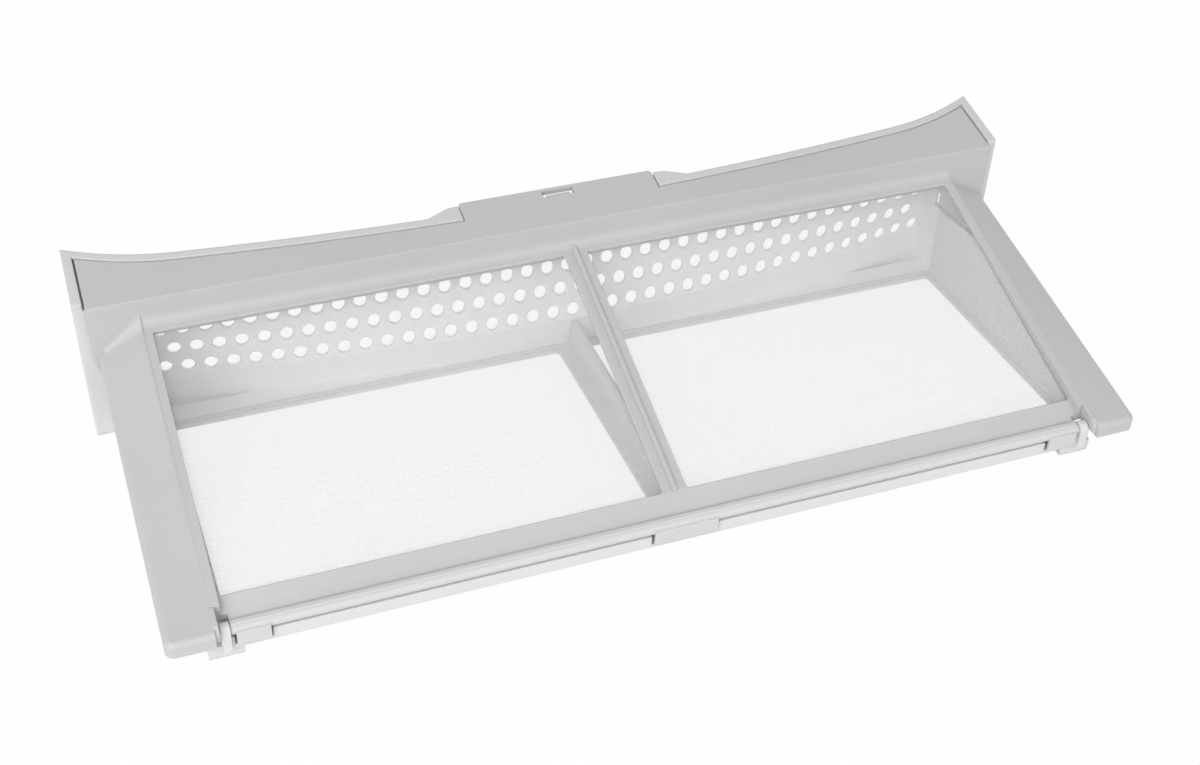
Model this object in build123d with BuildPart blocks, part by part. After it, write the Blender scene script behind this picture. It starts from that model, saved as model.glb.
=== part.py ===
"""Tumble dryer lint filter: a mesh frame hinged to a mesh tray with a curved, perforated head."""

import os
from math import asin, atan, cos, degrees, radians, sin

from build123d import *

os.makedirs("parts", exist_ok=True)

# Widths, in millimetres from the middle, all following from the windows' outer edge.
window_side = 142.5
rib_half = 4.0
side_land = 3.1
flange_width = 14.4
flange_lap = 0.3
shelf_overhang = 1.3
shelf_gap = 0.7
head_end_wall = 3.0
wall = 2.0
open_clearance = 0.4

# Head, with y counted back from the ridge of the hinge bar and z up from the table.
seat_y = 108.2
crease_height = 53.2
shelf_rise = 0.16
lip_middle_y = 120.2
lip_bend = 1400.0
lip_end_bend = 100.0
lip_end_reach = 35.0
lip_thickness = 2.4
wall_foot = 27.5
wall_corner = 4.0
cove_radius = 4.0
cove_end = 1.2

# The hinge.
front_reach = 4.16
ridge_height = 13.7
ridge_chamfer = 1.6
axis_y = 1.0
axis_height = 11.7
pin_radius = 1.5
pin_clearance = 0.05
pin_length = 2.9
bar_gap = 4.9
ear_width = 2.8
tab_half = 5.0
tab_inset = 6.2
middle_tab_half = 10.5
tab_clearance = 0.6

# The front frame's sloping plate, its windows and its side flanges.
plate_slope = 0.2773
plate_start = 14.2
plate_thickness = 1.6
window_front_y = 9.8
window_back_y = 104.5
flange_front_z = 15.7
flange_inner_rise = 0.2533
flange_outer_rise = 0.164
flange_thickness = 2.9
flange_skirt = 5.0
flange_roll = 2.0
flange_corner = 2.8
flange_inner_wall_y = 24.0

# The filter cloth.
mesh_thickness = 0.5
mesh_rebate = 0.6
mesh_lap = 1.5
mesh_play = 0.2

# The rear tray.
floor_start = 11.7
floor_slope = -0.072
floor_front_y = 7.4
floor_back_y = 105.2
floor_margin = (4.6, 2.6)
floor_land = 2.0
divider_half = 1.0
divider_top = 14.4
side_wall_drop = 10.5
side_wall_fall = 24.0
strip_bottom = 4.9
strip_top = 9.2
strip_depth = 9.2
web_top = 6.0
foot_width = 10.6
foot_overhang = 4.1
foot_y = (1.8, 6.0)

# The perforated wall of the head.
hole_pitch = 7.33
hole_radius = 2.33
hole_sides = 10
hole_row_low = 18.5
hole_row_rise = 7.2
grille_end_y = 117.0
grille_foot_y = 106.1
grille_middle_y = 103.6
grille_knee = 15.6
grille_wall = 1.2
grille_top = 42.0

# The handle in the middle of the head.
panel_half = 35.0
panel_back_y = 126.2
cheek_width = 4.0
cheek_ramp = 8.0
hump_short = 1.8
latch_slot = (11.2, 3.2)
latch_y = 123.6

# Widths that follow.
notch_half = window_side + side_land
frame_half = notch_half + flange_width
shelf_half = frame_half + shelf_overhang
recess_half = shelf_half + shelf_gap
head_half = recess_half + head_end_wall
bar_half = notch_half - bar_gap
ear_in = bar_half + open_clearance
ear_out = ear_in + ear_width
tray_wall_out = notch_half - flange_lap - open_clearance
tray_wall_in = tray_wall_out - wall
grille_half = tray_wall_in + 0.1
tab_middles = ((0, middle_tab_half), (tab_inset - bar_half, tab_half), (bar_half - tab_inset, tab_half))

shelf_angle = degrees(atan(shelf_rise))
plate_angle = degrees(atan(plate_slope))
floor_angle = degrees(atan(floor_slope))
shelf_stretch = 1 / cos(radians(shelf_angle))
plate_stretch = 1 / cos(radians(plate_angle))
floor_stretch = 1 / cos(radians(floor_angle))
plate_drop = plate_thickness * plate_stretch
lip_knee = head_half - lip_end_reach


def lip_y(x):
    """Outer edge of the lip: a wide arc that goes over into a tighter one near each end."""
    if abs(x) <= lip_knee:
        return lip_middle_y + lip_bend - (lip_bend**2 - x**2) ** 0.5
    turn = asin(lip_knee / lip_bend)
    reach = abs(x) - lip_knee + lip_end_bend * sin(turn)
    return lip_y(lip_knee) + lip_end_bend * cos(turn) - (lip_end_bend**2 - reach**2) ** 0.5


lip_tip_y = lip_y(head_half)
ridge_y = (front_reach - lip_tip_y) / 2


def side_plane(x):
    """Plane across the filter: first coordinate back from the ridge, second up from the table."""
    return Plane(origin=(x, ridge_y, 0), x_dir=(0, 1, 0), z_dir=(1, 0, 0))


def plan_plane(z):
    """Level plane: x and the distance back from the ridge."""
    return Plane(origin=(0, ridge_y, z))


def cross_plane(y):
    """Upright plane facing the hinge end: x and the height."""
    return Plane(origin=(0, ridge_y + y, 0), x_dir=(1, 0, 0), z_dir=(0, -1, 0))


def slope_plane(y, z, angle):
    """Plane tilted up towards the back about a line along x."""
    tilt = radians(angle)
    return Plane(origin=(0, ridge_y + y, z), x_dir=(1, 0, 0), z_dir=(0, -sin(tilt), cos(tilt)))


def plate_z(y):
    return plate_start + plate_slope * y


def floor_z(y):
    return floor_start + floor_slope * y


def shelf_z(y):
    return crease_height + shelf_rise * (y - seat_y)


def box(x0, x1, y0, y1, z0, z1, mode=Mode.ADD):
    """Block between two corners, given back from the ridge and up from the table."""
    with Locations(((x0 + x1) / 2, ridge_y + (y0 + y1) / 2, (z0 + z1) / 2)):
        Box(x1 - x0, y1 - y0, z1 - z0, mode=mode)


def side_profile(x0, x1, points, mode=Mode.ADD):
    """Profile seen from the side, between two values of x."""
    with BuildSketch(side_plane(x0)) as profile:
        with BuildLine():
            Polyline(*points, close=True)
        make_face()
    extrude(profile.sketch, amount=x1 - x0, mode=mode)


def on_shelf(y):
    """Distance up the sloping shelf from its front crease."""
    return (y - seat_y) * shelf_stretch


def lip_edge(half, inset, place):
    """Line from right to left that follows the lip, drawn in the line builder that is open."""
    ends = [(x, place(lip_y(x) - inset)) for x in (half, lip_knee, 0, -lip_knee, -half)]
    middle = ThreePointArc(*ends[1:4])
    TangentArc(ends[1], ends[0], tangent=(middle % 0) * -1)
    TangentArc(ends[3], ends[4], tangent=middle % 1)


def flange_z(x, y):
    """Top of a side flange: it twists, level at the front and falling outwards at the head."""
    inner = flange_front_z + flange_inner_rise * (y + front_reach)
    outer = flange_front_z + flange_outer_rise * (y + front_reach)
    return inner + (outer - inner) * (x - notch_half) / flange_width


def flange_sections(x0, x1, y0, y1, sink, skirt):
    """Two cross sections of a flange, below its top by sink and down to the skirt's edge."""
    sections = []
    for y in (y0, y1):
        low = flange_z(frame_half, y) - skirt
        with BuildSketch(cross_plane(y)) as section:
            with BuildLine():
                Polyline(
                    (x0, flange_z(x0, y) - sink),
                    (x1, flange_z(x1, y) - sink),
                    (x1, low),
                    (x0, low),
                    close=True,
                )
            make_face()
        sections.append(section.sketch)
    return sections


def cove_section(x, radius):
    """Hollow corner between a flange's top and the head wall, seen from the side."""
    corner_z = flange_z(x, seat_y)
    foot_z = flange_z(x, seat_y - radius)
    slack = 1 - sin(radians(45))
    with BuildSketch(side_plane(x)) as section:
        with BuildLine():
            ThreePointArc(
                (seat_y, corner_z + radius),
                (seat_y - slack * radius, corner_z + slack * (foot_z - corner_z + radius)),
                (seat_y - radius, foot_z),
            )
            Polyline(
                (seat_y - radius, foot_z),
                (seat_y - radius, foot_z - wall / 2),
                (seat_y + wall / 4, corner_z - wall / 2),
                (seat_y + wall / 4, corner_z + radius),
                (seat_y, corner_z + radius),
            )
        make_face()
    return section.sketch


# Right side flange: a channel open below, with a rolled outer edge and a rounded front corner.
with BuildPart() as flange:
    loft(
        flange_sections(notch_half - flange_lap, frame_half, -front_reach, seat_y + 0.5, 0, flange_skirt),
        ruled=True,
    )
    fillet(flange.edges().group_by(Axis.Y)[0].sort_by(Axis.X)[-1], flange_corner)
    outer_top = flange.edges().sort_by(SortBy.LENGTH)[-4:].sort_by(Axis.X)[-2:].sort_by(Axis.Z)[-1]
    fillet(outer_top, flange_roll)
    loft(
        flange_sections(
            notch_half + wall, frame_half - wall, wall - front_reach, flange_inner_wall_y, flange_thickness, 30
        ),
        ruled=True,
        mode=Mode.SUBTRACT,
    )
    loft(
        flange_sections(
            notch_half - 1, frame_half - wall, flange_inner_wall_y, seat_y + 1, flange_thickness, 30
        ),
        ruled=True,
        mode=Mode.SUBTRACT,
    )
    # Cove at the head, which dies out towards the rolled edge.
    loft(
        [cove_section(notch_half - flange_lap, cove_radius), cove_section(frame_half - flange_roll, cove_end)],
        ruled=True,
    )

# Front frame: plate, flanges, hinge bar, head wall, shelf and handle panel.
with BuildPart() as front_frame:
    # Back margin, coved into the upright head wall.
    with BuildSketch(side_plane(-notch_half)) as head_section:
        with BuildLine():
            Polyline(
                (window_back_y, plate_z(window_back_y)),
                (seat_y, plate_z(seat_y)),
                (seat_y, crease_height),
                (seat_y + wall, shelf_z(seat_y + wall)),
                (seat_y + wall, plate_z(seat_y) - plate_drop),
                (window_back_y, plate_z(window_back_y) - plate_drop),
                close=True,
            )
        make_face()
        inner_corner = head_section.vertices().sort_by_distance((seat_y, plate_z(seat_y)))[0]
        fillet(inner_corner, cove_radius)
    extrude(amount=2 * notch_half)
    # Ends of the head wall, which reach down outside the flanges.
    for side in (1, -1):
        with BuildSketch(cross_plane(seat_y)) as wall_end:
            end_in = notch_half - flange_lap
            end_out = frame_half - 2 * wall
            with BuildLine():
                Polyline(
                    (side * end_in, crease_height),
                    (side * shelf_half, crease_height),
                    (side * shelf_half, wall_foot),
                    (side * end_out, wall_foot),
                    (side * end_out, flange_z(end_out, seat_y) - flange_thickness / 2),
                    (side * end_in, flange_z(end_in, seat_y) - flange_thickness / 2),
                    close=True,
                )
            make_face()
            fillet(wall_end.vertices().sort_by_distance((side * shelf_half, wall_foot))[0], wall_corner)
        extrude(amount=-wall)
    # Sloping plate with the two windows.
    with BuildSketch(slope_plane(0, plate_start, plate_angle)):
        with Locations((0, (window_front_y + window_back_y) / 2 * plate_stretch)):
            Rectangle(2 * notch_half, (window_back_y - window_front_y) * plate_stretch + 0.2)
            with Locations(((window_side + rib_half) / 2, 0), (-(window_side + rib_half) / 2, 0)):
                RectangleRounded(
                    window_side - rib_half,
                    (window_back_y - window_front_y) * plate_stretch,
                    1.5,
                    mode=Mode.SUBTRACT,
                )
    extrude(amount=-plate_thickness)
    # Front margin that falls steeply to the hinge bar.
    side_profile(
        -notch_half - wall / 2,
        notch_half + wall / 2,
        [
            (window_front_y + 0.1, plate_z(window_front_y + 0.1)),
            (2.6, 12.2),
            (2.4, 10.6),
            (4.4, 10.6),
            (window_front_y - mesh_lap - 0.3, plate_z(window_front_y - mesh_lap - 0.3) - plate_drop),
            (window_front_y + 0.1, plate_z(window_front_y + 0.1) - plate_drop),
        ],
    )
    add(flange.part)
    mirror(flange.part, about=Plane.YZ)
    # Land beside each window, level with the flange and closed down to the plate's underside.
    for side in (1, -1):
        land_front = window_front_y / 2
        side_profile(
            side * window_side,
            side * (notch_half + flange_lap),
            [
                (land_front, flange_z(notch_half, land_front)),
                (seat_y + wall / 2, flange_z(notch_half, seat_y + wall / 2)),
                (seat_y + wall / 2, plate_z(seat_y + wall / 2) - plate_drop),
                (land_front, plate_z(land_front) - plate_drop),
            ],
        )
    # Take the margin's ends back out of the notch that the pivot ears stand in.
    for side in (1, -1):
        ends = sorted((side * bar_half, side * notch_half))
        box(*ends, -2 * front_reach, 5.2, 0, 30, mode=Mode.SUBTRACT)
    # Tongue at the front of each flange that closes up to the pivot ear.
    for side in (1, -1):
        tongue_top = flange_z(notch_half, 0)
        side_profile(
            side * (ear_out + open_clearance),
            side * (notch_half + flange_lap),
            [
                (-front_reach + flange_roll / 2, tongue_top - flange_skirt + 0.5),
                (-front_reach + flange_roll / 2, tongue_top - flange_roll),
                (-front_reach + 1.5 * flange_roll, tongue_top),
                (5.1, flange_z(notch_half, 5.1)),
                (5.1, tongue_top - flange_skirt + 0.5),
            ],
        )
    # Hinge bar with its ridge, pivot pins and three tabs.
    with BuildSketch(side_plane(-bar_half)):
        with Locations((axis_y, axis_height)):
            Circle(1.7)
        with BuildLine():
            Polyline(
                (-0.5, axis_height - 0.8),
                (-0.5, ridge_height - ridge_chamfer),
                (ridge_chamfer - 0.5, ridge_height),
                (2.8, ridge_height),
                (2.8, 11),
                close=True,
            )
        make_face()
    extrude(amount=2 * bar_half)
    with BuildSketch(side_plane(-bar_half - pin_length)):
        with Locations((axis_y, axis_height)):
            Circle(pin_radius)
    extrude(amount=2 * (bar_half + pin_length))
    for middle, half in tab_middles:
        box(middle - half, middle + half, -1.4, -0.3, 6.8, ridge_height - ridge_chamfer)
    # Rib bead, raised along the middle of the rib.
    with BuildSketch(slope_plane(0, plate_start, plate_angle)):
        with Locations((0, (window_front_y + seat_y - 1) / 2 * plate_stretch)):
            Rectangle(1.5, (seat_y - 1 - window_front_y) * plate_stretch)
    extrude(amount=0.8)
    # Rebates for the cloth on the inner side of the plate.
    with BuildSketch(slope_plane(0, plate_start, plate_angle).offset(-plate_thickness)):
        for side in (1, -1):
            with Locations((side * (window_side + rib_half) / 2, (window_front_y + window_back_y) / 2 * plate_stretch)):
                Rectangle(
                    window_side - rib_half + 2 * mesh_lap,
                    (window_back_y - window_front_y) * plate_stretch + 2 * mesh_lap,
                )
    extrude(amount=mesh_rebate, mode=Mode.SUBTRACT)
    # Sloping shelf with the handle panel and its latch slot.
    with BuildSketch(slope_plane(seat_y, crease_height, shelf_angle)):
        shelf_inset = lip_thickness + shelf_gap
        shelf_corner = on_shelf(lip_y(shelf_half) - shelf_inset)
        with BuildLine():
            Polyline((-shelf_half, shelf_corner), (-shelf_half, 0), (shelf_half, 0), (shelf_half, shelf_corner))
            lip_edge(shelf_half, shelf_inset, on_shelf)
        make_face()
        panel_depth = on_shelf(panel_back_y) - 1
        with Locations((0, 1 + panel_depth / 2)):
            RectangleRounded(2 * panel_half, panel_depth, 1.2)
        with Locations((0, on_shelf(latch_y))):
            Rectangle(*latch_slot, mode=Mode.SUBTRACT)
    extrude(amount=-wall)
front_frame.part.label = "front_frame"
export_step(front_frame.part, "parts/front_frame.step")

# Rear tray: floor, walls, divider, front strip, pivot ears and feet.
with BuildPart() as rear_tray:
    floor_window = (floor_front_y + floor_margin[0], floor_back_y - floor_margin[1])
    floor_side = window_side - mesh_lap
    floor_inner = rib_half + floor_land
    floor_middle = sum(floor_window) / 2 * floor_stretch
    floor_length = (floor_window[1] - floor_window[0]) * floor_stretch
    with BuildSketch(slope_plane(0, floor_start, floor_angle)):
        with Locations((0, (floor_front_y + floor_back_y) / 2 * floor_stretch)):
            Rectangle(2 * tray_wall_out, (floor_back_y - floor_front_y) * floor_stretch)
        for side in (1, -1):
            with Locations((side * (floor_side + floor_inner) / 2, floor_middle)):
                RectangleRounded(floor_side - floor_inner, floor_length, 2.0, mode=Mode.SUBTRACT)
    extrude(amount=-wall)
    # Side walls, lower at the back where the halves part by a sliver.
    under = plate_drop + open_clearance
    crest_y = floor_back_y - side_wall_fall
    for side in (1, -1):
        side_profile(
            side * tray_wall_in,
            side * tray_wall_out,
            [
                (floor_front_y, floor_z(floor_front_y) - wall),
                (floor_back_y, floor_z(floor_back_y) - wall),
                (floor_back_y, plate_z(floor_back_y) - under - side_wall_drop),
                (crest_y, plate_z(crest_y) - under),
                (floor_front_y, plate_z(floor_front_y) - under - 1.4),
            ],
        )
    side_profile(
        -divider_half,
        divider_half,
        [
            (10, floor_z(10) - wall),
            (floor_back_y, floor_z(floor_back_y) - wall),
            (grille_middle_y - 0.1, divider_top),
            (10, divider_top),
        ],
    )
    # Front strip: an open channel under the hinge bar, notched for the tabs.
    box(-ear_out, ear_out, 0, strip_depth, strip_bottom, web_top)
    box(-ear_out, ear_out, 0, wall - 0.2, strip_bottom, strip_top)
    box(-ear_out, ear_out, floor_front_y, strip_depth, strip_bottom, floor_z(strip_depth))
    for middle, half in tab_middles:
        notch = half + tab_clearance
        box(middle - notch, middle + notch, -1, floor_front_y - 0.1, web_top, 30, mode=Mode.SUBTRACT)
    # Feet, which reach out under the flanges, and pivot ears.
    foot_out = ear_out + foot_overhang
    for side in (1, -1):
        for ends, top in (((foot_out - foot_width, ear_out), strip_bottom + 0.3), ((ear_out, foot_out), strip_bottom - 0.3)):
            box(*sorted(side * end for end in ends), *foot_y, 0, top)
        with BuildSketch(side_plane(side * ear_in)):
            with Locations((axis_y, axis_height)):
                Circle(2.5)
            with Locations((axis_y, (axis_height + strip_bottom) / 2)):
                Rectangle(5.0, axis_height - strip_bottom)
            with Locations((axis_y, axis_height)):
                Circle(pin_radius + pin_clearance, mode=Mode.SUBTRACT)
        extrude(amount=side * ear_width)
    # Rebates for the cloth on the upper side of the floor.
    with BuildSketch(slope_plane(0, floor_start, floor_angle)):
        for side in (1, -1):
            with Locations((side * (floor_side + floor_inner) / 2, floor_middle)):
                Rectangle(floor_side - floor_inner + 2 * mesh_lap, floor_length + 2 * mesh_lap)
    extrude(amount=-mesh_rebate, mode=Mode.SUBTRACT)
rear_tray.part.label = "rear_tray"
export_step(rear_tray.part, "parts/rear_tray.step")

# Head cover: trough open to the back, with the perforated wall across the filter's mouth.
with BuildPart() as top_cover:
    cover_front_y = seat_y + wall + open_clearance
    recess_depth = wall + open_clearance
    ceiling = recess_depth + wall
    with BuildSketch(plan_plane(0)):
        with BuildLine():
            half = head_half
            Polyline((-half, lip_tip_y), (-half, cover_front_y), (half, cover_front_y), (half, lip_tip_y))
            lip_edge(half, 0, lambda y: y)
        make_face()
    extrude(amount=crease_height + 20)
    # Handle hump, with cheeks that ramp up from the lip beside the panel.
    with BuildSketch(plan_plane(crease_height - 5)) as hump:
        hump_top = panel_half + cheek_width
        hump_foot = hump_top + cheek_ramp
        with BuildLine():
            Polyline(
                (-hump_foot, lip_y(hump_foot)),
                (-hump_top, panel_back_y - hump_short),
                (hump_top, panel_back_y - hump_short),
                (hump_foot, lip_y(hump_foot)),
                (hump_foot, cover_front_y + wall),
                (-hump_foot, cover_front_y + wall),
                close=True,
            )
        make_face()
        fillet(hump.vertices().group_by(Axis.Y)[-1], cheek_width)
    extrude(amount=20)
    # Top of the lip, parallel to the shelf.
    with BuildSketch(slope_plane(seat_y, crease_height + 0.4, shelf_angle)):
        Rectangle(500, 500)
    extrude(amount=60, mode=Mode.SUBTRACT)
    # Recess that the shelf and the handle panel lie in.
    with BuildSketch(slope_plane(seat_y, crease_height - recess_depth, shelf_angle)):
        with BuildLine():
            half = recess_half
            recess_corner = on_shelf(lip_y(half) - lip_thickness)
            Polyline((-half, recess_corner), (-half, -5), (half, -5), (half, recess_corner))
            lip_edge(half, lip_thickness, on_shelf)
        make_face()
        with Locations((0, on_shelf(panel_back_y))):
            Rectangle(2 * panel_half + 2 * open_clearance, 30)
    extrude(amount=10, mode=Mode.SUBTRACT)
    # Hollow behind the front wall, open to the back.
    hollow_y = cover_front_y + wall
    side_profile(
        -recess_half,
        recess_half,
        [
            (hollow_y, wall),
            (lip_tip_y + 5, wall),
            (lip_tip_y + 5, shelf_z(lip_tip_y + 5) - ceiling),
            (hollow_y, shelf_z(hollow_y) - ceiling),
        ],
        mode=Mode.SUBTRACT,
    )
    # Finger room under the handle panel's edge.
    finger_y = latch_y + latch_slot[1] / 2 + open_clearance
    box(-panel_half, panel_half, finger_y, lip_tip_y, crease_height - 15, crease_height + 10, mode=Mode.SUBTRACT)
    # Mouth of the pocket in the front wall.
    mouth_floor = floor_z(floor_back_y)
    side_profile(
        -grille_half,
        grille_half,
        [
            (cover_front_y - 1, mouth_floor),
            (hollow_y + 0.5, mouth_floor),
            (hollow_y + 0.5, shelf_z(hollow_y) - ceiling),
            (cover_front_y - 1, shelf_z(cover_front_y - 1) - ceiling),
        ],
        mode=Mode.SUBTRACT,
    )
    # Openings behind the flanges' ends.
    for side in (1, -1):
        ends = sorted((side * tray_wall_out, side * (frame_half - wall)))
        box(*ends, cover_front_y - 1, hollow_y + 0.5, mouth_floor, wall_foot + 7, mode=Mode.SUBTRACT)
    # Sill that meets the tray's floor, and cheeks at the ends of the mouth.
    box(-tray_wall_out, tray_wall_out, floor_back_y, cover_front_y + 0.1, 0.2, mouth_floor)
    for side in (1, -1):
        side_profile(
            side * grille_half,
            side * tray_wall_out,
            [
                (floor_back_y, 0.2),
                (grille_end_y + 1, 0.2),
                (grille_end_y + 1, shelf_z(grille_end_y + 1) - ceiling + 0.5),
                (cover_front_y, shelf_z(cover_front_y) - ceiling),
                (cover_front_y, plate_z(floor_back_y) - under - side_wall_drop),
                (floor_back_y, plate_z(floor_back_y) - under - side_wall_drop),
            ],
        )
    # Perforated wall: bowed to the hinge at its foot, straight at its top.
    for low, high, foot_y, head_y in (
        (0.2, grille_knee, grille_foot_y, grille_middle_y),
        (grille_knee, grille_top, grille_middle_y, grille_end_y - 0.4),
        (grille_top, shelf_z(grille_end_y) - ceiling + 0.6, grille_end_y - 0.4, grille_end_y - 0.4),
    ):
        for z, middle_y in ((low, foot_y), (high, head_y)):
            with BuildSketch(plan_plane(z)):
                with BuildLine():
                    half = grille_half
                    ThreePointArc((-half, grille_end_y), (0, middle_y), (half, grille_end_y))
                    back_y = grille_end_y + grille_wall
                    Line((half, grille_end_y), (half, back_y))
                    ThreePointArc((half, back_y), (0, middle_y + grille_wall), (-half, back_y))
                    Line((-half, back_y), (-half, grille_end_y))
                make_face()
        loft(ruled=True)
    with BuildSketch(cross_plane(100)):
        long_row = int((2 * grille_half - 2 * hole_radius - 1.5) / hole_pitch) + 1
        for row, count in enumerate((long_row, long_row - 1, long_row)):
            with Locations((0, hole_row_low + row * hole_row_rise)):
                with GridLocations(hole_pitch, 1, count, 1):
                    RegularPolygon(hole_radius, hole_sides)
    extrude(amount=-21, mode=Mode.SUBTRACT)
    # Catch that stands in the latch slot.
    catch_y = latch_y - latch_slot[1] / 2 + open_clearance
    box(-4.2, 4.2, catch_y, catch_y + 1.3, shelf_z(catch_y) - ceiling, shelf_z(catch_y) - 0.6)
top_cover.part.label = "top_cover"
export_step(top_cover.part, "parts/top_cover.step")

# Filter cloth: one sheet in each window.
for name, side in (("left", -1), ("right", 1)):
    with BuildPart() as front_mesh:
        with BuildSketch(slope_plane(0, plate_start, plate_angle).offset(mesh_rebate - plate_thickness)):
            with Locations((side * (window_side + rib_half) / 2, (window_front_y + window_back_y) / 2 * plate_stretch)):
                Rectangle(
                    window_side - rib_half + 2 * (mesh_lap - mesh_play),
                    (window_back_y - window_front_y) * plate_stretch + 2 * (mesh_lap - mesh_play),
                )
        extrude(amount=-mesh_thickness)
    front_mesh.part.label = "front_mesh_" + name
    export_step(front_mesh.part, "parts/front_mesh_" + name + ".step")
    with BuildPart() as rear_mesh:
        with BuildSketch(slope_plane(0, floor_start, floor_angle).offset(-mesh_rebate)):
            with Locations((side * (floor_side + floor_inner) / 2, floor_middle)):
                Rectangle(
                    floor_side - floor_inner + 2 * (mesh_lap - mesh_play),
                    floor_length + 2 * (mesh_lap - mesh_play),
                )
        extrude(amount=mesh_thickness)
    rear_mesh.part.label = "rear_mesh_" + name
    export_step(rear_mesh.part, "parts/rear_mesh_" + name + ".step")
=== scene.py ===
# %% [markdown]
# # Tumble dryer lint filter
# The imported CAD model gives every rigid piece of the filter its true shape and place. This lesson
# dresses it: woven screens take the place of the flat sheets, the mouldings get a satin plastic,
# and a plain white studio with a camera at the photograph's angle shows the result.

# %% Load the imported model
from math import radians

import bmesh
import bpy
from mathutils import Matrix, Vector


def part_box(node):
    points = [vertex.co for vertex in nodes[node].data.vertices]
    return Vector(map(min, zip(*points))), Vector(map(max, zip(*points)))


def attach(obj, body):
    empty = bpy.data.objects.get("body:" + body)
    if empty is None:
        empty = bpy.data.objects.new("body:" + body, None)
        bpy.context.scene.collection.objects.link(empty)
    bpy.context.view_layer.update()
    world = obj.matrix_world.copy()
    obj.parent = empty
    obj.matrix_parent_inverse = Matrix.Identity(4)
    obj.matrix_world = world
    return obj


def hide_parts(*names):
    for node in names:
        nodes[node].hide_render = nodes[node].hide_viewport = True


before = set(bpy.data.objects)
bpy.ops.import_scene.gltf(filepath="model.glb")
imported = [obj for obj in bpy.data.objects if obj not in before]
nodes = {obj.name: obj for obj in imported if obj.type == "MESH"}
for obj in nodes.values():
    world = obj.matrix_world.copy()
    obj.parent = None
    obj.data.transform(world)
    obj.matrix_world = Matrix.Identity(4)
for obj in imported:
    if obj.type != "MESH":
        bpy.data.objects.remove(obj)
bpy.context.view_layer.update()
print("CAD nodes:", ", ".join(sorted(nodes)))

# %% [markdown]
# ## Shader maths as plain expressions
# A material is a graph of nodes, and wiring it by hand hides the idea. This small class wraps one
# socket, so that `1 - mask` or `a * b` adds the Math node that does it. Every other node comes from
# the one method `node`, which sets the node's own settings first and its sockets after that.


# %% A socket that can be added and multiplied
class Shade:
    """One output socket of a material's nodes, with operators that add Math nodes."""

    def __init__(self, tree, socket=None):
        self.tree = tree
        self.socket = socket

    def node(self, kind, settings=None, output=0, **inputs):
        """Add a node: its settings, then its sockets, by name with underscores or by number as i0."""
        made = self.tree.nodes.new(kind)
        for name, value in (settings or {}).items():
            setattr(made, name, value)
        for name, value in inputs.items():
            numbered = name[0] == "i" and name[1:].isdigit()
            key = int(name[1:]) if numbered else name.replace("_", " ")
            if isinstance(value, Shade):
                self.tree.links.new(value.socket, made.inputs[key])
            else:
                made.inputs[key].default_value = value
        return Shade(self.tree, made.outputs[output] if made.outputs else None)

    def math(self, operation, first, second=0.0):
        return self.node("ShaderNodeMath", {"operation": operation}, i0=first, i1=second)

    def __add__(self, other):
        return self.math("ADD", self, other)

    def __sub__(self, other):
        return self.math("SUBTRACT", self, other)

    def __rsub__(self, other):
        return self.math("SUBTRACT", other, self)

    def __mul__(self, other):
        return self.math("MULTIPLY", self, other)

    def fraction(self):
        return self.math("FRACT", self)

    def above(self, limit):
        return self.math("GREATER_THAN", self, limit)

    def larger(self, other):
        return self.math("MAXIMUM", self, other)

    def smaller(self, other):
        return self.math("MINIMUM", self, other)

    def absolute(self):
        return self.math("ABSOLUTE", self)

    __radd__ = __add__
    __rmul__ = __mul__


def new_material(name):
    """An empty material, and a Shade to start its nodes from."""
    material = bpy.data.materials.new(name)
    material.use_nodes = True
    material.node_tree.nodes.clear()
    return material, Shade(material.node_tree)


def surface(start, shader):
    """Join a finished shader to the material's output."""
    start.node("ShaderNodeOutputMaterial", Surface=shader)


def axes_of(start, place):
    """The three coordinates of a place, each on its own."""
    return [start.node("ShaderNodeSeparateXYZ", output=axis, Vector=place) for axis in "XYZ"]


def add_object(name, data):
    """A new object in the scene that shows a mesh, a lamp or a camera."""
    made = bpy.data.objects.new(name, data)
    bpy.context.scene.collection.objects.link(made)
    return made


def finished_mesh(name, shape, material):
    """A mesh with one material, from a shape that isn't needed any more."""
    mesh = bpy.data.meshes.new(name)
    shape.to_mesh(mesh)
    shape.free()
    mesh.materials.append(material)
    return mesh


print("helpers ready for materials and meshes")

# %% [markdown]
# ## Satin moulded plastic
# The mouldings are a light grey, unpainted plastic straight from a fine-grained tool. The grain is
# far too small to model, so a bump from a fine noise gives it, while a broad, faint noise keeps the
# grey from being perfectly even, as it never is on a large thin moulding. A Bevel node softens the
# edges where light catches them, and the same node shows where an edge is, so that it can be made a
# little paler and smoother: the paler edge is partly wear from handling and partly a painted highlight.
# Thin plastic also lets some light in, which is the glow.

# %% A maker of plastic finishes
GRAIN_SCALE, GRAIN_DETAIL = 2600.0, 1.0
CLOUD_SCALE, CLOUD_DETAIL = 14.0, 3.0
NOISE_MIDDLE = 0.5
# The last of these tones pales every edge, partly as wear and partly as a painted highlight.
CLOUD_TONE, GRAIN_TONE, EDGE_WEAR_AND_HIGHLIGHT = 0.05, 0.02, 0.05
BLUE_SHARE = 0.995
ROUGHNESS, CLOUD_ROUGH, GRAIN_ROUGH, EDGE_POLISH = 0.46, 0.12, 0.06, 0.08
GRAIN_STRENGTH, GRAIN_HEIGHT = 0.08, 0.0002
EDGE_SAMPLES, EDGE_GAIN = 6, 4.0
GLOW_SHARE, GLOW_DEPTH = 0.3, 0.002


def cloud_and_grain(start, place):
    """Broad and fine noise, each about zero on average."""
    noise = "ShaderNodeTexNoise"
    cloud = start.node(noise, Vector=place, Scale=CLOUD_SCALE, Detail=CLOUD_DETAIL)
    grain = start.node(noise, Vector=place, Scale=GRAIN_SCALE, Detail=GRAIN_DETAIL)
    return cloud - NOISE_MIDDLE, grain - NOISE_MIDDLE


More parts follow.
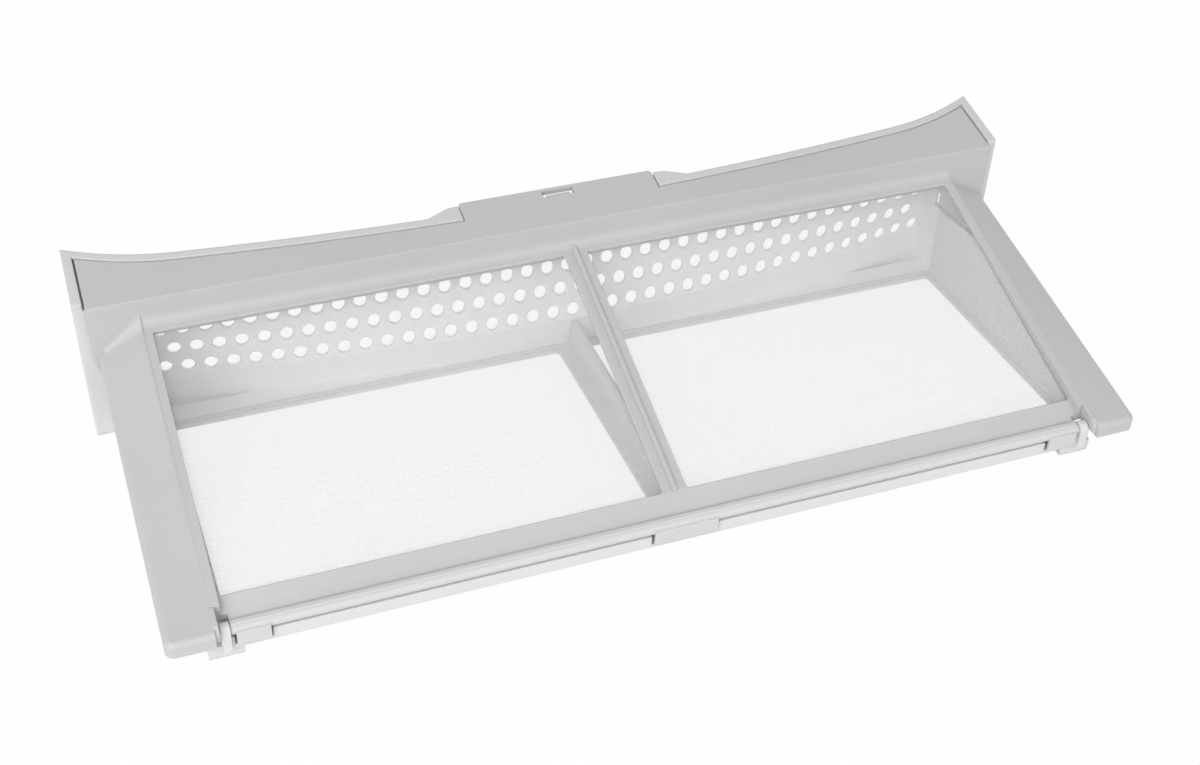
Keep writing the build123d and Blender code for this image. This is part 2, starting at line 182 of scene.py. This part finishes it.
def soft_edge_wear_and_highlight(start, radius):
    """Softened normal, and a mask that is 1 on an edge and 0 on a flat face."""
    soft = start.node("ShaderNodeBevel", {"samples": EDGE_SAMPLES}, Radius=radius)
    flat = start.node("ShaderNodeNewGeometry", output="Normal")
    likeness = start.node(
        "ShaderNodeVectorMath", {"operation": "DOT_PRODUCT"}, output="Value", i0=soft, i1=flat
    )
    return soft, ((1 - likeness) * EDGE_GAIN).smaller(1.0)


def satin_plastic(name, grey, edge_radius, extra_tone=None, extra_height=None):
    """Light grey plastic: cloudy colour, fine grain, softened edges, partly worn and partly painted
    paler as a highlight.
    """
    material, start = new_material(name)
    place = start.node("ShaderNodeTexCoord", output="Object")
    cloud, grain = cloud_and_grain(start, place)
    soft, edge = soft_edge_wear_and_highlight(start, edge_radius)
    # Edges are painted paler: partly wear from handling, partly a painted highlight.
    tone = grey + cloud * CLOUD_TONE + grain * GRAIN_TONE + edge * EDGE_WEAR_AND_HIGHLIGHT
    if extra_tone:
        tone = tone + extra_tone(start, place)
    if extra_height:
        height = extra_height(start, place)
        soft = start.node("ShaderNodeBump", Strength=1.0, Distance=1.0, Height=height, Normal=soft)
    colour = start.node("ShaderNodeCombineColor", Red=tone, Green=tone, Blue=tone * BLUE_SHARE)
    relief = start.node(
        "ShaderNodeBump", Strength=GRAIN_STRENGTH, Distance=GRAIN_HEIGHT, Height=grain, Normal=soft
    )
    rough = ROUGHNESS + cloud * CLOUD_ROUGH + grain * GRAIN_ROUGH - edge * EDGE_POLISH
    shader = start.node(
        "ShaderNodeBsdfPrincipled",
        Base_Color=colour,
        Roughness=rough,
        Normal=relief,
        Subsurface_Weight=GLOW_SHARE,
        Subsurface_Radius=(1, 1, 1),
        Subsurface_Scale=GLOW_DEPTH,
    )
    surface(start, shader)
    return material


print("plastic maker ready, with a grain near", round(1000 / GRAIN_SCALE, 1), "mm")

# %% [markdown]
# ## Traces of moulding, and painted light, on the front half
# On the real frame the thin hinge bar lets light through and looks paler, which is painted into its
# colour as painted light. The pins that pushed the moulding out of its tool left a faint ring on each
# flange and at each end of the shelf's crease, drawn as a low bump with a painted highlight along it.
# The rings stand up by less than a tenth of a millimetre, so they are drawn from the distance to a
# point, mirrored from right to left.

# %% Pale bar and ring marks
BAR_HALF = 0.1435
BAR_BACK = -0.0632
BAR_FADE = 1500.0
# Painted light: the hinge bar is painted paler, for the light that comes through it.
BAR_PAINTED_LIGHT = 0.08
RING_LINE = 0.00022
# Painted highlight: the lines of the ring marks are painted paler, as their rims would catch the light.
RING_PAINTED_HIGHLIGHT = 0.06
RING_HEIGHT = 0.00008
FLANGE_PIN = (0.1495, -0.0205, 0.0261)
CREASE_PIN = (0.1555, 0.0435, 0.0534)
RINGS = ((FLANGE_PIN, 0.0043), (CREASE_PIN, 0.0022), (CREASE_PIN, 0.0010))


def mirrored_place(start, place):
    """Distance from the middle, place towards the back and height, alike on both halves."""
    along, back, up = axes_of(start, place)
    return along.absolute(), back, up


def ring_lines(start, along, back, up):
    """1 on the ring marks, 0 elsewhere."""
    folded = start.node("ShaderNodeCombineXYZ", X=along, Y=back, Z=up)
    lines = None
    for centre, radius in RINGS:
        away = start.node(
            "ShaderNodeVectorMath", {"operation": "DISTANCE"}, output="Value", i0=folded, i1=centre
        )
        line = (1 - (away - radius).absolute() * (1 / RING_LINE)).larger(0.0)
        lines = line if lines is None else lines.larger(line)
    return lines


def frame_tone(start, place):
    """Painted light on the hinge bar, and ring marks with a painted highlight."""
    along, back, up = mirrored_place(start, place)
    in_front = ((BAR_BACK - back) * BAR_FADE).larger(0.0).smaller(1.0)
    bar = in_front * (1 - along.above(BAR_HALF))
    # Painted light on the hinge bar, and a painted highlight along the rings.
    return bar * BAR_PAINTED_LIGHT + ring_lines(start, along, back, up) * RING_PAINTED_HIGHLIGHT


def frame_height(start, place):
    """Rims of the ring marks, in metres."""
    return ring_lines(start, *mirrored_place(start, place)) * RING_HEIGHT


print("ring marks on each half:", len(RINGS))

# %% [markdown]
# ## A paler perforated wall
# The head's lip and cheeks are solid and show the plastic's full grey. Its perforated wall is thin,
# so light from behind comes through, and the lower parts pick up light from the white table. Both
# are differences of tone by place, so they are added to the plastic's grey rather than modelled.

# %% Tones of the head cover
COVER_TOP = 0.055
FOOT_PALE = 0.12
POCKET_HALF = 0.1438
POCKET_BACK = 0.0545
POCKET_DEPTH = 0.12
POCKET_PALE = 0.12


def cover_tone(start, place):
    """Paler towards the foot, and paler again on the perforated wall."""
    along, back, up = mirrored_place(start, place)
    low = ((COVER_TOP - up) * (1 / COVER_TOP)).larger(0.0).smaller(1.0)
    inside = (1 - along.above(POCKET_HALF)) * (1 - back.above(POCKET_BACK))
    pocket = inside * low.above(POCKET_DEPTH)
    return low * FOOT_PALE + pocket * POCKET_PALE


print("perforated wall paler by", POCKET_PALE)

# %% [markdown]
# ## Finishes of the three mouldings
# The front frame, the rear tray and the head cover are moulded apart, so each has a grey of its own,
# set to the levels in the photograph. Their shapes stay as the CAD model has them, since a finish is
# all that they lack. The cover's edges are rounder than those of the other two.

# %% Dress the mouldings
FRAME_GREY, TRAY_GREY, COVER_GREY = 0.515, 0.67, 0.60
FINE_EDGE, ROUND_EDGE = 0.0004, 0.0008

finishes = {
    "front_frame": satin_plastic("frame_plastic", FRAME_GREY, FINE_EDGE, frame_tone, frame_height),
    "rear_tray": satin_plastic("tray_plastic", TRAY_GREY, FINE_EDGE),
    "top_cover": satin_plastic("cover_plastic", COVER_GREY, ROUND_EDGE, cover_tone),
}
for node_name, finish in finishes.items():
    moulding = nodes[node_name].data
    moulding.materials.clear()
    moulding.materials.append(finish)
print("plastic finishes:", len(finishes))

# %% [markdown]
# ## The weave
# Each window holds a screen of fine white threads, woven square and cut on the bias, so the threads
# run diagonally. Modelling every thread would take hundreds of strips, so one flat sheet carries the
# weave in its Alpha: where no thread passes, the sheet is open and the light goes through. The screens
# are one cloth in two greys: the rear threads are painted paler than the front ones, as painted light
# that offsets the shade inside the filter.

# %% Two woven materials
THREAD_PITCH = 0.00068
DIAGONAL = 0.7071
THREAD_ROUGH = 0.6
THREAD_STRENGTH, THREAD_HEIGHT = 0.4, 0.0001
LINT_SCALE, LINT_DETAIL, LINT_TONE = 30.0, 2.0, 0.06
# The rear threads are painted paler than the front ones: painted light that offsets the shade inside the
# filter.
FRONT_GREY, FRONT_SHARE = 0.75, 0.165
REAR_PAINTED_PALER_GREY, REAR_SHARE = 0.95, 0.085


def woven_screen(name, grey, thread_share):
    """Threads of one grey on both diagonals, open between them."""
    material, start = new_material(name)
    place = start.node("ShaderNodeTexCoord", output="Object")
    along, back, up = axes_of(start, place)
    per_metre = DIAGONAL / THREAD_PITCH
    rising = ((along + back) * per_metre).fraction()
    falling = ((along - back) * per_metre).fraction()
    thread = rising.above(1 - thread_share).larger(falling.above(1 - thread_share))
    lint = start.node("ShaderNodeTexNoise", Vector=place, Scale=LINT_SCALE, Detail=LINT_DETAIL)
    tone = grey + (lint - NOISE_MIDDLE) * LINT_TONE
    colour = start.node("ShaderNodeCombineColor", Red=tone, Green=tone, Blue=tone)
    height = rising.larger(falling)
    relief = start.node(
        "ShaderNodeBump", Strength=THREAD_STRENGTH, Distance=THREAD_HEIGHT, Height=height
    )
    shader = start.node(
        "ShaderNodeBsdfPrincipled",
        Base_Color=colour,
        Roughness=THREAD_ROUGH,
        Alpha=thread,
        Normal=relief,
    )
    surface(start, shader)
    return material


front_weave = woven_screen("filter_cloth_front", FRONT_GREY, FRONT_SHARE)
rear_weave = woven_screen("filter_cloth_rear", REAR_PAINTED_PALER_GREY, REAR_SHARE)
print("threads every", THREAD_PITCH * 1000, "mm")

# %% [markdown]
# ## The four screens
# The cloth could be laid into the tool and the frame moulded round its edge, which leaves each screen
# tight and flat. So a flat grid is stretched to the box of the CAD sheet and leaned to its slope: the
# front screens rise towards the head, and the rear ones fall.

# %% Screens in their windows
CLOTH_THICKNESS = 0.0005
SCREEN_CELLS = 12
screens = {
    "front_mesh_left": ("front_half", "front_frame", 1, front_weave),
    "front_mesh_right": ("front_half", "front_frame", 1, front_weave),
    "rear_mesh_left": ("rear_half", "rear_tray", -1, rear_weave),
    "rear_mesh_right": ("rear_half", "rear_tray", -1, rear_weave),
}
for node_name, (body, holder, rise, weave) in screens.items():
    low, high = (Vector(corner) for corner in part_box(node_name))
    span = high - low
    climb = rise * (span.z - CLOTH_THICKNESS)
    lean = Matrix.Identity(4)
    lean[2][1] = climb / span.y
    sheet = bmesh.new()
    bmesh.ops.create_grid(sheet, x_segments=SCREEN_CELLS, y_segments=SCREEN_CELLS, size=0.5)
    bmesh.ops.scale(sheet, vec=(span.x, span.y, 1), verts=sheet.verts)
    bmesh.ops.transform(sheet, matrix=lean, verts=sheet.verts)
    bmesh.ops.translate(sheet, vec=(low + high) / 2, verts=sheet.verts)
    screen_name = node_name + "_screen"
    screen = add_object(screen_name, finished_mesh(screen_name, sheet, weave))
    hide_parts(node_name)
    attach(screen, body)
    length = (span.y**2 + climb**2) ** 0.5
    print(node_name, "screen", round(span.x * 1000, 1), "by", round(length * 1000, 1), "mm")

# %% [markdown]
# ## Studio floor
# The photograph is a plain cut-out on white. A large sheet of paper stands for the table: it glows
# white to the camera, and a small share of plain paper keeps a faint shadow under the filter.

# %% Floor
FLOOR_SIZE = 6.0
PAPER_GREY = (0.9, 0.9, 0.9, 1)
WHITE = (1, 1, 1, 1)
GLOWING_SHARE = 0.96


def seen_by_camera(start):
    """1 where the camera looks, straight, mirrored or through something clear, and 0 for other light."""
    camera_ray, glossy_ray, clear_ray = (
        start.node("ShaderNodeLightPath", output="Is " + kind + " Ray")
        for kind in ("Camera", "Glossy", "Transmission")
    )
    return camera_ray.larger(glossy_ray).larger(clear_ray)


floor_material, start = new_material("studio_floor")
paper = start.node("ShaderNodeBsdfDiffuse", Color=PAPER_GREY)
glow = start.node("ShaderNodeEmission", Color=WHITE, Strength=1.0)
share = seen_by_camera(start) * GLOWING_SHARE
surface(start, start.node("ShaderNodeMixShader", i0=share, i1=paper, i2=glow))
floor_shape = bmesh.new()
bmesh.ops.create_grid(floor_shape, x_segments=1, y_segments=1, size=FLOOR_SIZE / 2)
floor = add_object("studio_floor", finished_mesh("studio_floor", floor_shape, floor_material))
print("floor", FLOOR_SIZE, "m wide")

# %% [markdown]
# ## Light
# The photograph is lit softly from the camera's side, a little from the left. One large lamp there
# gives the upright walls their lighter tone, a weaker one from the right fills the shaded sides, and
# an even white sky does the rest.

# %% Lamps and sky
LAMP_TARGET = Vector((0, 0, 0.02))
LAMP_SIZE = 1.2
LAMPS = {
    "front_lamp": (Vector((-0.85, -1.1, 0.92)), 17.5),
    "fill_lamp": (Vector((0.5, -1.3, 0.9)), 3.0),
}
SKY_LIGHT = 0.6
SKY_EXTRA = 0.4

for lamp_name, (lamp_place, power) in LAMPS.items():
    lamp_data = bpy.data.lights.new(lamp_name, "AREA")
    lamp_data.size = LAMP_SIZE
    lamp_data.energy = power
    lamp = add_object(lamp_name, lamp_data)
    lamp.location = lamp_place
    lamp.rotation_euler = (LAMP_TARGET - lamp_place).to_track_quat("-Z", "Y").to_euler()

world = bpy.data.worlds.new("studio_sky")
bpy.context.scene.world = world
world.use_nodes = True
world.node_tree.nodes.clear()
sky = Shade(world.node_tree)
sky_strength = SKY_LIGHT + seen_by_camera(sky) * SKY_EXTRA
sky_glow = sky.node("ShaderNodeBackground", Color=WHITE, Strength=sky_strength)
sky.node("ShaderNodeOutputWorld", Surface=sky_glow)
print("lamps:", ", ".join(LAMPS))

# %% [markdown]
# ## Camera
# The camera's place was worked out from the photograph's perspective, with the filter 330 mm wide.
# It stands in front and to the left, looks down by about 40 degrees and has a slight roll.

# %% Camera at the photograph's angle
CAMERA_PLACE = Vector((-0.16968, -0.41456, 0.38942))
CAMERA_HEADING = radians(-21.744)
CAMERA_TILT = radians(50.173)
CAMERA_ROLL = radians(2.502)
camera_data = bpy.data.cameras.new("photo_camera")
camera_data.sensor_fit = "HORIZONTAL"
camera_data.sensor_width = 36.0
camera_data.lens = 52.296
camera_data.clip_start = 0.01
camera = add_object("photo_camera", camera_data)
camera.matrix_world = (
    Matrix.Translation(CAMERA_PLACE)
    @ Matrix.Rotation(CAMERA_HEADING, 4, "Z")
    @ Matrix.Rotation(CAMERA_TILT, 4, "X")
    @ Matrix.Rotation(CAMERA_ROLL, 4, "Z")
)
bpy.context.scene.camera = camera
bpy.context.scene.view_settings.view_transform = "Standard"
print("camera with a lens of", camera_data.lens, "mm")
